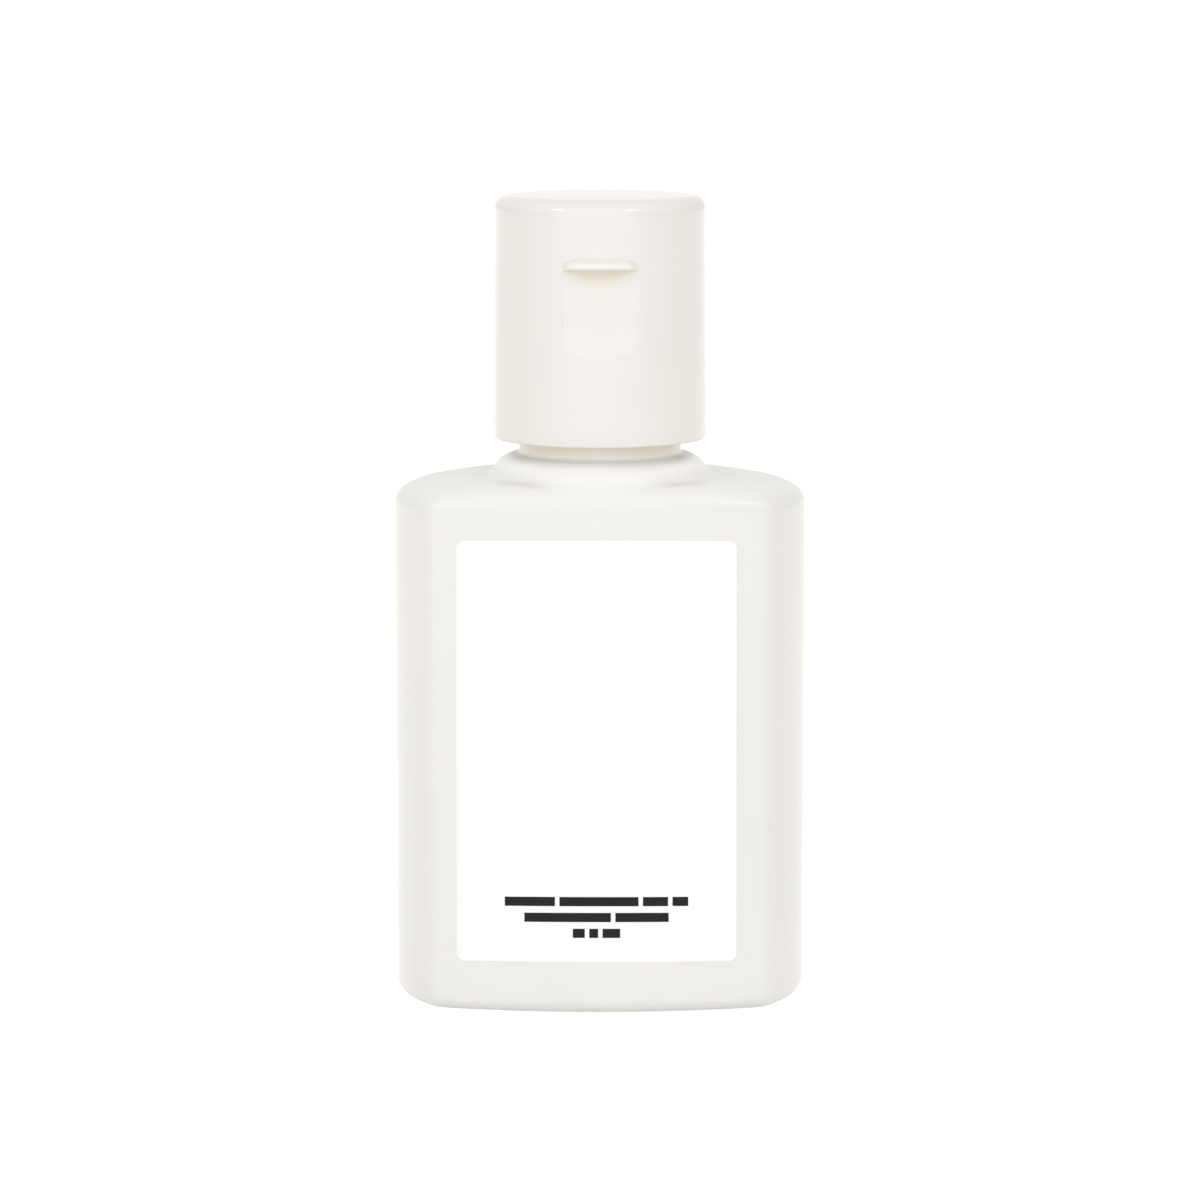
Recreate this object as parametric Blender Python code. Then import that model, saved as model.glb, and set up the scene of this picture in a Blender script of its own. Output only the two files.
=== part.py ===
# A small flat lotion bottle with a screw-on flip-top cap, as separate pieces.
# Metres, +Z up. The front faces -Y, and the origin lies on the table under the middle of the neck.
import math

import bmesh
import bpy
from mathutils import Vector

# Bottle body: a rectangle in plan with bowed faces, bowed sides and rounded corners
body_width = 0.0331
body_depth = 0.0190
face_bulge = 0.0018
side_bulge = 0.0031
corner_fillet = 0.0017
least_fillet = 0.0004
shoulder_height = 0.0425
shoulder_fall = 0.0010
face_roll = 0.0018
side_roll = 0.0013
base_roll = 0.0012
foot_width = 0.0018
push_up = 0.0007
push_up_slope = 0.0012
bottle_wall = 0.0009

# Collar and neck
neck_radius = 0.00662
neck_height = 0.0132
neck_wall = 0.0014
lip_edge = 0.0002
collar_reach = 0.0019
collar_height = 0.0019

# Screw thread, right-handed
thread_pitch = 0.002117
thread_depth = 0.00065
thread_side_clearance = 0.00022
thread_play = 0.0001
thread_below_lip = 0.0013
thread_sunk = 0.0003

# Seal ring on the neck's lip
seal_thickness = 0.0005
seal_gap = 0.00005
seal_edge_inset = 0.00015
seal_bore_margin = 0.0008

# Cap base
cap_gap = 0.00105
cap_wall = 0.00098
cap_draft = 0.00013
cap_edge = 0.00025
deck_thickness = 0.0011
orifice_radius = 0.0016
spout_wall = 0.0010
spout_height = 0.0020
spout_edge = 0.0004
snap_ring_height = 0.0010
snap_ring_wall = 0.0008
snap_ring_clearance = 0.0002
snap_bead = 0.00008

# Thumb scoop in the front of the cap base
scoop_width = 0.0060
scoop_depth = 0.0006
scoop_height = 0.0070
scoop_flat_height = 0.0041

# Lid
seam_gap = 0.0001
lid_height = 0.0055
lid_wall = 0.0009
lid_top = 0.0010
lid_edge_radius = 0.0011
lid_rim_edge = 0.00015
plug_clearance = 0.00012
plug_engagement = 0.0012
plug_taper = 0.00025
tab_width = 0.0059
tab_reach = 0.00088
tab_height = 0.0010
tab_edge = 0.00022

# Hinge at the back of the cap: flat pads, two bending films and a snap strap between them
pad_width = 0.0064
pad_height = 0.0020
pad_proud = 0.00003
hinge_stand_off = 0.0005
film_thickness = 0.0002
film_half_height = 0.00035
film_past_axis = 0.0001
film_width = 0.0011
strap_width = 0.0026
strap_thickness = 0.0003
strap_half_height = 0.0016
strap_past_axis = 0.00035
hinge_seat_gap = 0.00005

# Labels
label_thickness = 0.0001
label_gap = 0.00008
label_side_margin = 0.00235
label_bottom = 0.00434
label_top_margin = 0.00424
label_corner = 0.00065

# One overrun for every cut and every sunk root
overrun = 0.0010

# Counts of facets
turn_facets = 48
face_facets = 12
side_facets = 6
fillet_facets = 3
roll_facets = 6
edge_facets = 3
label_facets = 16
film_facets = 8

# Turns of thread, and the thread's width at root and crest as shares of its pitch
neck_turns = 2
cap_turns = 1.5
thread_fade_turns = 0.125
thread_root_share = 0.52
thread_crest_share = 0.24
roof_ring_shares = (0.25, 0.5, 0.75)

# Heights and radii that follow from the sizes above
collar_radius = neck_radius + collar_reach
collar_top = shoulder_height + collar_height
lip_height = collar_top + neck_height
thread_crest_radius = neck_radius + thread_depth
cap_bore_radius = thread_crest_radius + thread_side_clearance
cap_radius = cap_bore_radius + cap_wall
cap_bottom = collar_top + cap_gap
deck_underside = lip_height + seal_thickness + 2 * seal_gap
ledge_height = deck_underside + deck_thickness
seam_height = ledge_height + seam_gap / 2
lid_bottom = ledge_height + seam_gap
lid_top_height = lid_bottom + lid_height
lid_bore_radius = cap_radius - lid_wall
snap_ring_radius = lid_bore_radius - snap_ring_clearance
spout_top = ledge_height + spout_height
pad_plane = cap_radius + pad_proud
hinge_axis_y = pad_plane + hinge_stand_off


def clear_scene():
    for thing in list(bpy.data.objects):
        bpy.data.objects.remove(thing)


def plastic(name, colour, roughness):
    material = bpy.data.materials.new(name)
    material.use_nodes = True
    shader = material.node_tree.nodes["Principled BSDF"]
    shader.inputs["Base Color"].default_value = (*colour, 1)
    shader.inputs["Roughness"].default_value = roughness
    shader.inputs["Metallic"].default_value = 0
    return material


def add_object(name, mesh, material=None):
    thing = bpy.data.objects.new(name, mesh)
    bpy.context.scene.collection.objects.link(thing)
    if material:
        mesh.materials.append(material)
    else:
        thing.hide_render = True
        thing.display_type = "WIRE"
    return thing


def finish_mesh(name, shape, material=None, sharp_angle=math.radians(35)):
    # Turns a bmesh into an object with smooth round sides. One without a material is a cutter.
    bmesh.ops.recalc_face_normals(shape, faces=shape.faces)
    mesh = bpy.data.meshes.new(name)
    shape.to_mesh(mesh)
    shape.free()
    mesh.shade_smooth()
    mesh.set_sharp_from_angle(angle=sharp_angle)
    return add_object(name, mesh, material)


def skin_rings(shape, rings):
    # Joins each ring of vertices to the next one with quads.
    for low, high in zip(rings, rings[1:]):
        for i in range(len(low)):
            j = (i + 1) % len(low)
            shape.faces.new((low[i], low[j], high[j], high[i]))


def fan(shape, ring, middle):
    for i in range(len(ring)):
        shape.faces.new((ring[i], ring[(i + 1) % len(ring)], middle))


def around(radius, height, facets=turn_facets):
    steps = (2 * math.pi * i / facets for i in range(facets))
    return [Vector((radius * math.cos(a), radius * math.sin(a), height)) for a in steps]


def turned(name, profile, material=None):
    # Turns a closed outline of (radius, height) about Z. A point on the axis becomes one vertex.
    shape = bmesh.new()
    rings = []
    for radius, height in profile:
        points = around(radius, height) if radius else [Vector((0, 0, height))]
        rings.append([shape.verts.new(point) for point in points])
    for low, high in zip(rings, rings[1:] + rings[:1]):
        if len(low) == 1 and len(high) == 1:
            continue
        if len(low) == 1:
            fan(shape, high, low[0])
        elif len(high) == 1:
            fan(shape, low, high[0])
        else:
            skin_rings(shape, [low, high])
    return finish_mesh(name, shape, material)


def prism(name, outline, axis, low, high, material=None):
    # Extrudes a closed outline along "x" or "z", from low to high.
    shape = bmesh.new()
    rings = []
    for place in (low, high):
        points = [(place, a, b) if axis == "x" else (a, b, place) for a, b in outline]
        rings.append([shape.verts.new(point) for point in points])
    skin_rings(shape, rings)
    for ring in rings:
        shape.faces.new(ring)
    return finish_mesh(name, shape, material)


def block(name, low, high):
    corners = [(low[0], low[1]), (high[0], low[1]), (high[0], high[1]), (low[0], high[1])]
    return prism(name, corners, "z", low[2], high[2])


def combine(target, tool, operation):
    cut = target.modifiers.new(f"{operation.title()} {tool.name}", "BOOLEAN")
    cut.operation = operation
    cut.object = tool
    cut.solver = "EXACT"


def round_edge(centre, radii, start, end, facets=edge_facets):
    # Points on an arc or a quarter of an ellipse, between two angles in degrees.
    angles = (math.radians(start + (end - start) * i / facets) for i in range(facets + 1))
    return [(centre[0] + radii[0] * math.cos(a), centre[1] + radii[1] * math.sin(a)) for a in angles]


def arc_radius(half_chord, bulge):
    return (half_chord**2 + bulge**2) / (2 * bulge)


def circles_meet(centre_a, radius_a, centre_b, radius_b):
    # The meeting point of two circles that lies furthest out from both axes.
    apart = centre_b - centre_a
    along = (radius_a**2 - radius_b**2 + apart.length_squared) / (2 * apart.length)
    across = math.sqrt(max(radius_a**2 - along**2, 0))
    way = apart.normalized()
    side = Vector((-way.y, way.x))
    points = (centre_a + way * along + side * across, centre_a + way * along - side * across)
    return max(points, key=lambda point: point.x + point.y)


# The arcs of the body's plan: one centre and radius for the side, and one for the face
corner_x = body_width / 2 - side_bulge
corner_y = body_depth / 2 - face_bulge
side_radius = arc_radius(corner_y, side_bulge)
face_radius = arc_radius(corner_x, face_bulge)
side_centre = Vector((body_width / 2 - side_radius, 0))
face_centre = Vector((0, body_depth / 2 - face_radius))


def plan_outline(side_inset=0, face_inset=0):
    # The body's plan, drawn in from its sides and its faces. It runs anticlockwise from +X.
    fillet = max(corner_fillet - min(side_inset, face_inset), least_fillet)
    side = side_radius - side_inset
    face = face_radius - face_inset
    centre = circles_meet(side_centre, side - fillet, face_centre, face - fillet)
    side_end = math.atan2(centre.y - side_centre.y, centre.x - side_centre.x)
    face_start = math.atan2(centre.y - face_centre.y, centre.x - face_centre.x)
    arcs = (
        (side_centre, side, 0, side_end, side_facets // 2),
        (centre, fillet, side_end, face_start, fillet_facets),
        (face_centre, face, face_start, math.pi / 2, face_facets // 2),
    )
    quarter = []
    for middle, radius, start, end, facets in arcs:
        for i in range(facets):
            angle = start + (end - start) * i / facets
            quarter.append((middle.x + radius * math.cos(angle), middle.y + radius * math.sin(angle)))
    top = (0, face_centre.y + face)
    back_left = [(-x, y) for x, y in reversed(quarter[1:])]
    upper = quarter + [top] + back_left
    left = (-quarter[0][0], 0)
    return upper + [left] + [(-x, -y) for x, y in upper[1:]]


def roof_height(x):
    # The shoulder's height: level as far as the collar, then falling evenly to the sides.
    beyond = max(abs(x) - collar_radius, 0)
    return shoulder_height - shoulder_fall * beyond / (body_width / 2 - collar_radius)


def body_shape(name, inset, material=None):
    # The body's outer skin, or with an inset the skin of the space inside it.
    side_turn = max(side_roll - inset, least_fillet)
    face_turn = max(face_roll - inset, least_fillet)
    base_turn = max(base_roll - inset, least_fillet)
    wall = plan_outline(inset, inset)
    roof = plan_outline(side_roll, face_roll)
    rings = []
    foot_inset = inset + base_turn + foot_width
    for extra, height in ((push_up_slope, push_up), (0, 0)):
        reach = foot_inset + extra
        rings.append([(x, y, height + inset) for x, y in plan_outline(reach, reach)])
    for i in range(edge_facets + 1):
        angle = math.pi / 2 * i / edge_facets
        reach = inset + base_turn * (1 - math.sin(angle))
        height = inset + base_turn * (1 - math.cos(angle))
        rings.append([(x, y, height) for x, y in plan_outline(reach, reach)])
    for i in range(roll_facets + 1):
        angle = math.pi / 2 * i / roll_facets
        ring = []
        for (x, y), (roof_x, roof_y) in zip(wall, roof):
            share = 1 - math.cos(angle)
            here_x = x + (roof_x - x) * share
            here_y = y + (roof_y - y) * share
            sideways = min(abs(x) / (body_width / 2 - inset), 1) ** 2
            turn = face_turn + (side_turn - face_turn) * sideways
            height = roof_height(here_x) - inset - turn * (1 - math.sin(angle))
            ring.append((here_x, here_y, height))
        rings.append(ring)
    for share in roof_ring_shares:
        ring = [(x * (1 - share), y * (1 - share)) for x, y in roof]
        rings.append([(x, y, roof_height(x) - inset) for x, y in ring])
    shape = bmesh.new()
    rings = [[shape.verts.new(point) for point in ring] for ring in rings]
    skin_rings(shape, rings)
    fan(shape, rings[0], shape.verts.new((0, 0, push_up + inset)))
    fan(shape, rings[-1], shape.verts.new((0, 0, roof_height(0) - inset)))
    return finish_mesh(name, shape, material)


def thread_ridge(name, root_radius, crest_radius, low, turns):
    # One helical ridge, sunk into its wall at the root, that fades in and out at its ends.
    shape = bmesh.new()
    rings = []
    inward = 1 if crest_radius < root_radius else -1
    sunk_radius = root_radius + inward * thread_sunk
    half_root = thread_pitch * thread_root_share / 2
    half_crest = thread_pitch * thread_crest_share / 2
    steps = round(turns * turn_facets)
    for i in range(steps + 1):
        angle = 2 * math.pi * i / turn_facets
        turn = i / turn_facets
        fade = min(turn / thread_fade_turns, (turns - turn) / thread_fade_turns, 1)
        crest = sunk_radius + (crest_radius - sunk_radius) * max(fade, thread_crest_share)
        height = low + thread_pitch * turn
        section = (
            (sunk_radius, height - half_root),
            (crest, height - half_crest),
            (crest, height + half_crest),
            (sunk_radius, height + half_root),
        )
        points = [(r * math.cos(angle), r * math.sin(angle), z) for r, z in section]
        rings.append([shape.verts.new(point) for point in points])
    skin_rings(shape, rings)
    shape.faces.new(rings[0])
    shape.faces.new(rings[-1])
    return finish_mesh(name, shape)


def neck_thread_low():
    half_root = thread_pitch * thread_root_share / 2
    return lip_height - thread_below_lip - half_root - neck_turns * thread_pitch


def cap_thread_low():
    # The cap's ridge bears up against the underside of the neck's ridge when the cap is tight.
    mean_width = thread_pitch * (thread_root_share + thread_crest_share) / 2
    return neck_thread_low() - mean_width - thread_play


def make_bottle(material):
    bottle = body_shape("bottle", 0, material)
    collar = round_edge((neck_radius, shoulder_height), (collar_reach, collar_height), 0, 90, roll_facets)
    neck = turned(
        "neck_tool",
        [
            (0, shoulder_height - face_roll),
            (collar_radius, shoulder_height - face_roll),
            *collar,
            (neck_radius, lip_height - lip_edge),
            (neck_radius - lip_edge, lip_height),
            (0, lip_height),
        ],
    )
    ridge = thread_ridge(
        "neck_thread_tool", neck_radius, thread_crest_radius, neck_thread_low(), neck_turns
    )
    inside = body_shape("inside_tool", bottle_wall)
    bore_radius = neck_radius - neck_wall
    bore_low = shoulder_height - bottle_wall - overrun
    bore_high = lip_height + overrun
    bore = turned(
        "neck_bore_tool",
        [(0, bore_low), (bore_radius, bore_low), (bore_radius, bore_high), (0, bore_high)],
    )
    combine(bottle, neck, "UNION")
    combine(bottle, ridge, "UNION")
    combine(bottle, inside, "DIFFERENCE")
    combine(bottle, bore, "DIFFERENCE")
    return bottle


def make_label(name, material, front):
    # A bent sheet that follows the bowed face, with round corners.
    half_width = corner_x - label_side_margin
    top = shoulder_height - label_top_margin
    bottom = label_bottom
    corner_angle = math.asin(label_corner / face_radius)
    end_angle = math.asin(half_width / face_radius)
    angles = []
    for i in range(edge_facets + 1):
        turn = math.pi / 2 * i / edge_facets
        angle = -end_angle + corner_angle * (1 - math.cos(turn))
        angles.append((angle, label_corner * (1 - math.sin(turn))))
    inner = end_angle - corner_angle
    middle = [(-inner + 2 * inner * i / label_facets, 0) for i in range(1, label_facets)]
    columns = angles + middle + [(-angle, rise) for angle, rise in reversed(angles)]
    shape = bmesh.new()
    facing = -1 if front else 1
    sheets = []
    for radius in (face_radius + label_gap, face_radius + label_gap + label_thickness):
        sheet = []
        for angle, rise in columns:
            x = radius * math.sin(angle)
            y = facing * (face_centre.y + radius * math.cos(angle))
            low = shape.verts.new((x, y, bottom + rise))
            high = shape.verts.new((x, y, top - rise))
            sheet.append((low, high))
        sheets.append(sheet)
    inner_sheet, outer_sheet = sheets
    for i in range(len(columns) - 1):
        for sheet in sheets:
            shape.faces.new((sheet[i][0], sheet[i + 1][0], sheet[i + 1][1], sheet[i][1]))
        for end in (0, 1):
            shape.faces.new(
                (inner_sheet[i][end], inner_sheet[i + 1][end], outer_sheet[i + 1][end], outer_sheet[i][end])
            )
    for i in (0, -1):
        shape.faces.new((inner_sheet[i][0], inner_sheet[i][1], outer_sheet[i][1], outer_sheet[i][0]))
    return finish_mesh(name, shape, material)


def make_seal_ring(material):
    low = lip_height + seal_gap
    high = low + seal_thickness
    outer = neck_radius - seal_edge_inset
    inner = neck_radius - neck_wall - seal_bore_margin
    return turned("seal_ring", [(outer, low), (outer, high), (inner, high), (inner, low)], material)


def root_plane(half_width, wall):
    # How far out a lug on the cap's round wall starts, so that its root stays inside the wall.
    edge = math.sqrt(cap_radius**2 - half_width**2)
    return max(edge - wall / 4, cap_radius - wall * 3 / 4)


def hinge_pad(name, low, high, wall):
    # The flat block behind the round wall that the films and the strap start from.
    half = pad_width / 2
    return block(name, (-half, root_plane(half, wall), low), (half, pad_plane, high))


def make_cap_base(material):
    bottom_radius = cap_radius + cap_draft
    spout_radius = orifice_radius + spout_wall
    ring_top = ledge_height + snap_ring_height
    ring_bore = snap_ring_radius - snap_ring_wall
    base = turned(
        "cap_base",
        [
            (cap_bore_radius, cap_bottom),
            (bottom_radius - cap_edge, cap_bottom),
            (bottom_radius, cap_bottom + cap_edge),
            (cap_radius, ledge_height),
            (snap_ring_radius, ledge_height),
            (snap_ring_radius, ledge_height + snap_ring_height / 2),
            (snap_ring_radius + snap_bead, ledge_height + snap_ring_height * 3 / 4),
            (snap_ring_radius - snap_bead, ring_top),
            (ring_bore, ring_top),
            (ring_bore, ledge_height),
            (spout_radius, ledge_height),
            *round_edge(
                (spout_radius - spout_edge, spout_top - spout_edge), (spout_edge, spout_edge), 0, 90
            ),
            (orifice_radius, spout_top),
            (orifice_radius, deck_underside),
            (cap_bore_radius, deck_underside),
        ],
        material,
    )
    crest_radius = neck_radius + thread_side_clearance
    ridge = thread_ridge("cap_thread_tool", cap_bore_radius, crest_radius, cap_thread_low(), cap_turns)
    pad = hinge_pad("base_pad_tool", ledge_height - pad_height, ledge_height, cap_wall)
    combine(base, ridge, "UNION")
    combine(base, pad, "UNION")
    combine(base, make_scoop_cutter(), "DIFFERENCE")
    return base


def make_scoop_cutter():
    # The scoop's floor is flat at the top, then curves out to the surface of the skirt.
    floor = cap_radius - scoop_depth
    outside = cap_radius + cap_draft + overrun
    curve_height = scoop_height - scoop_flat_height
    curve_radius = arc_radius(curve_height, scoop_depth + cap_draft)
    flat_low = ledge_height - scoop_flat_height
    outline = [(-outside, ledge_height + overrun), (-floor, ledge_height + overrun)]
    end = math.degrees(math.asin(curve_height / curve_radius))
    outline += round_edge(
        (-floor - curve_radius, flat_low), (curve_radius, curve_radius), 0, -end, roll_facets
    )
    outline.append((-outside, outline[-1][1]))
    return prism("scoop_tool", outline, "x", -scoop_width / 2, scoop_width / 2)


def make_cap_lid(material):
    inner_top = lid_top_height - lid_top
    plug_radius = orifice_radius - plug_clearance
    plug_bottom = spout_top - plug_engagement
    lid = turned(
        "cap_lid",
        [
            (0, plug_bottom),
            (plug_radius - plug_taper, plug_bottom),
            (plug_radius, plug_bottom + plug_engagement / 2),
            (plug_radius, inner_top),
            (lid_bore_radius, inner_top),
            (lid_bore_radius, lid_bottom),
            (cap_radius - lid_rim_edge, lid_bottom),
            (cap_radius, lid_bottom + lid_rim_edge),
            *round_edge(
                (cap_radius - lid_edge_radius, lid_top_height - lid_edge_radius),
                (lid_edge_radius, lid_edge_radius),
                0,
                90,
                roll_facets,
            ),
            (0, lid_top_height),
        ],
        material,
    )
    pad = hinge_pad("lid_pad_tool", lid_bottom, lid_bottom + pad_height, lid_wall)
    combine(lid, pad, "UNION")
    combine(lid, make_tab(), "UNION")
    return lid


def make_tab():
    # The lifting tab: a low crescent that stands out from the lid's front, just above the seam.
    half = tab_width / 2
    chord = math.sqrt(cap_radius**2 - half**2)
    tip = cap_radius + tab_reach
    radius = arc_radius(half, tip - chord)
    end = math.degrees(math.asin(min(half / radius, 1)))
    centre = -(tip - radius)
    outline = round_edge((0, centre), (radius, radius), 270 - end, 270 + end, 2 * roll_facets)
    root = -root_plane(half, lid_wall)
    outline += [(half, root), (-half, root)]
    tab = prism("tab_tool", outline, "z", lid_bottom, lid_bottom + tab_height)
    bevel = tab.modifiers.new("Soft edge", "BEVEL")
    bevel.width = tab_edge
    bevel.segments = 2
    bevel.limit_method = "ANGLE"
    return tab


def bent_strip(name, material, past_axis, half_height, thickness, low_x, high_x, facets):
    # A strip that leaves the lower pad, bows out past the hinge axis and returns to the upper pad.
    seat = pad_plane + hinge_seat_gap
    reach = hinge_axis_y + past_axis - seat
    outer = round_edge((seat, seam_height), (reach, half_height), -90, 90, facets)
    inner_radii = (reach - thickness, half_height - thickness)
    inner = round_edge((seat, seam_height), inner_radii, 90, -90, facets)
    return prism(name, outer + inner, "x", low_x, high_x, material)


def make_hinge(material):
    outer = pad_width / 2
    inner = outer - film_width
    film = (film_past_axis, film_half_height, film_thickness)
    strap = (strap_past_axis, strap_half_height, strap_thickness)
    bent_strip("hinge_film_left", material, *film, -outer, -inner, film_facets)
    bent_strip("hinge_film_right", material, *film, inner, outer, film_facets)
    bent_strip("hinge_strap", material, *strap, -strap_width / 2, strap_width / 2, film_facets)


def main():
    clear_scene()
    bottle_white = plastic("Bottle white", (0.86, 0.855, 0.83), 0.42)
    cap_white = plastic("Cap white", (0.87, 0.86, 0.83), 0.3)
    hinge_white = plastic("Hinge white", (0.87, 0.86, 0.83), 0.35)
    label_white = plastic("Label white", (0.95, 0.95, 0.95), 0.45)
    foam_white = plastic("Seal foam", (0.8, 0.8, 0.78), 0.8)
    make_bottle(bottle_white)
    make_label("front_label", label_white, True)
    make_label("back_label", label_white, False)
    make_seal_ring(foam_white)
    make_cap_base(cap_white)
    make_cap_lid(cap_white)
    make_hinge(hinge_white)


main()
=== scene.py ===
import math

import bmesh
import bpy
import numpy as np
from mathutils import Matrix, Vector


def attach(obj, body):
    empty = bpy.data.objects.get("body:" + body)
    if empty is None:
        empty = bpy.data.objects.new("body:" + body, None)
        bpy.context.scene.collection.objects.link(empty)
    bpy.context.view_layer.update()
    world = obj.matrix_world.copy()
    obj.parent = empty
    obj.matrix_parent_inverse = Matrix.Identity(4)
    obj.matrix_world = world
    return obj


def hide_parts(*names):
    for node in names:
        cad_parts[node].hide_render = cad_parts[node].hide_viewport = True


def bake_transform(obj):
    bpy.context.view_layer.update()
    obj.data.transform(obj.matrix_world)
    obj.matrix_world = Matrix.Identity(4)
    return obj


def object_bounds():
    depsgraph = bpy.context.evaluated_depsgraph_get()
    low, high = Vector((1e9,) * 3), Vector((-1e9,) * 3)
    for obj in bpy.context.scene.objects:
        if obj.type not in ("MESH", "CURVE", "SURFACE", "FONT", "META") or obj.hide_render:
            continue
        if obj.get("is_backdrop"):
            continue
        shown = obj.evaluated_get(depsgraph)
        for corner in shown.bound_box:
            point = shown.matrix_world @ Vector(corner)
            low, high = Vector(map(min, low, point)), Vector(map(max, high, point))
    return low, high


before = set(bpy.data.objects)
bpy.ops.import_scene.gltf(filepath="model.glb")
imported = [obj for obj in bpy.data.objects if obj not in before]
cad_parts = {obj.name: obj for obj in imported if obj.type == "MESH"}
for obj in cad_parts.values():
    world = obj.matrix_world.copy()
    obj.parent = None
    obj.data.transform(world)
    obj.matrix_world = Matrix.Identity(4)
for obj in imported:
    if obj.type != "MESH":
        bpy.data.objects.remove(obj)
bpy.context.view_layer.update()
mm = 0.001  # sizes in the dictionaries are in millimetres, and the trees' own defaults in metres
white = (1, 1, 1)
print("frame loaded:", ", ".join(sorted(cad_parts)))

cameraSetup = {
    "distance": 370, "elevation": 8.4, "aimHeight": 32.14, "mmPerPixel": 0.081, "pixels": 1200,
    "sensor": 36, "clipStart": 10, "clipEnd": 20000,
}


def newObject(name, data):
    thing = bpy.data.objects.new(name, data)
    bpy.context.scene.collection.objects.link(thing)
    return thing


def makeCamera(setup):
    lift = math.radians(setup["elevation"])
    data = bpy.data.cameras.new("photoCamera")
    data.sensor_width = setup["sensor"]
    data.lens = setup["distance"] / setup["mmPerPixel"] / setup["pixels"] * data.sensor_width
    data.clip_start, data.clip_end = setup["clipStart"] * mm, setup["clipEnd"] * mm
    camera = newObject("photoCamera", data)
    back = Vector((0, -math.cos(lift), math.sin(lift))) * setup["distance"] * mm
    camera.location = back + Vector((0, 0, setup["aimHeight"] * mm))
    camera.rotation_euler = (math.radians(90) - lift, 0, 0)
    bpy.context.scene.camera = camera


makeCamera(cameraSetup)
print("camera set")


class Wire:
    # One output socket. Sums written on wires add Math nodes to the tree.
    def __init__(self, graph, socket):
        self.graph, self.socket = graph, socket

    def math(self, operation, *values):
        return self.graph.add("ShaderNodeMath", {"operation": operation}, dict(enumerate(values)))

    def other(self, key):
        return Wire(self.graph, self.socket.node.outputs[key])

    def __add__(self, value):
        return self.math("ADD", self, value)

    def __radd__(self, value):
        return self.math("ADD", value, self)

    def __sub__(self, value):
        return self.math("SUBTRACT", self, value)

    def __rsub__(self, value):
        return self.math("SUBTRACT", value, self)

    def __mul__(self, value):
        return self.math("MULTIPLY", self, value)

    def __truediv__(self, value):
        return self.math("DIVIDE", self, value)

    def __mod__(self, value):
        return self.math("FLOORED_MODULO", self, value)

    def __abs__(self):
        return self.math("ABSOLUTE", self)

    def __gt__(self, value):
        return self.math("GREATER_THAN", self, value)

    def __lt__(self, value):
        return self.math("LESS_THAN", self, value)

    def most(self, value):
        return self.math("MAXIMUM", self, value)

    def root(self):
        return self.math("SQRT", self.most(0))

    def floor(self):
        return self.math("FLOOR", self)

    def rise(self, low, high):
        # A soft step from nought at low to one at high
        return self.graph.add("ShaderNodeMapRange", {"interpolation_type": "SMOOTHSTEP"}, {0: self, 1: low, 2: high})

    def between(self, start, full, fade, end):
        # One from full to fade, and nought before start and past end
        return self.rise(start, full) * self.rise(end, fade)


def fromMiddle(x, y):
    return (x * x + y * y).root()


def circleHeight(radius, x):
    return (radius * radius - x * x).root()


def scaled(colour, share):
    return [value * share for value in colour]


def inMetres(sizes):
    return {label: size * mm for label, size in sizes.items()}


class Graph:
    # A node tree with one method that makes every kind of node
    def __init__(self, tree):
        self.tree = tree

    def add(self, kind, settings=None, sockets=None, output=0):
        node = self.tree.nodes.new(kind)
        for name, value in (settings or {}).items():
            setattr(node, name, value)
        for key, value in (sockets or {}).items():
            if isinstance(value, Wire):
                self.tree.links.new(value.socket, node.inputs[key])
            else:
                node.inputs[key].default_value = value
        return Wire(self, node.outputs[output]) if node.outputs else node

    def vector(self, x=0, y=0, z=0):
        return self.add("ShaderNodeCombineXYZ", {}, {0: x, 1: y, 2: z})

    def parts(self, vector):
        x = self.add("ShaderNodeSeparateXYZ", {}, {0: vector})
        return x, x.other(1), x.other(2)

    def vectors(self, operation, *values):
        return self.add("ShaderNodeVectorMath", {"operation": operation}, dict(enumerate(values)))

    def mix(self, share, first, second):
        # Mixes two colours, each a wire or its red, green and blue
        first, second = [colour if isinstance(colour, Wire) else (*colour, 1) for colour in (first, second)]
        return self.add("ShaderNodeMix", {"data_type": "RGBA"}, {0: share, 6: first, 7: second}, 2)

    def paint(self, tone, layers):
        # Lays colours over a tone, each by its own share
        for share, colour in layers:
            tone = self.mix(share, tone, colour)
        return tone


class Shader(Graph):
    # A material's tree, with the place on the piece in millimetres
    def __init__(self, name):
        self.material = bpy.data.materials.new(name)
        self.material.use_nodes = True
        super().__init__(self.material.node_tree)
        self.tree.nodes.clear()
        place = self.add("ShaderNodeTexCoord", {}, {}, "Object")
        self.place = self.add("ShaderNodeVectorMath", {"operation": "SCALE"}, {0: place, 3: 1 / mm})

    def noise(self, scale, detail=2, rough=0.5, stretch=None):
        place = self.vectors("MULTIPLY", self.place, stretch) if stretch else self.place
        sockets = {"Vector": place, "Scale": scale, "Detail": detail, "Roughness": rough}
        return self.add("ShaderNodeTexNoise", {}, sockets)

    def bump(self, height, depth, under=None):
        sockets = {"Height": height, "Distance": depth * mm}
        if under:
            sockets["Normal"] = under
        return self.add("ShaderNodeBump", {}, sockets)

    def finish(self, sockets):
        surface = self.add("ShaderNodeBsdfPrincipled", {}, sockets)
        self.add("ShaderNodeOutputMaterial", {}, {"Surface": surface})
        return self.material


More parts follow.
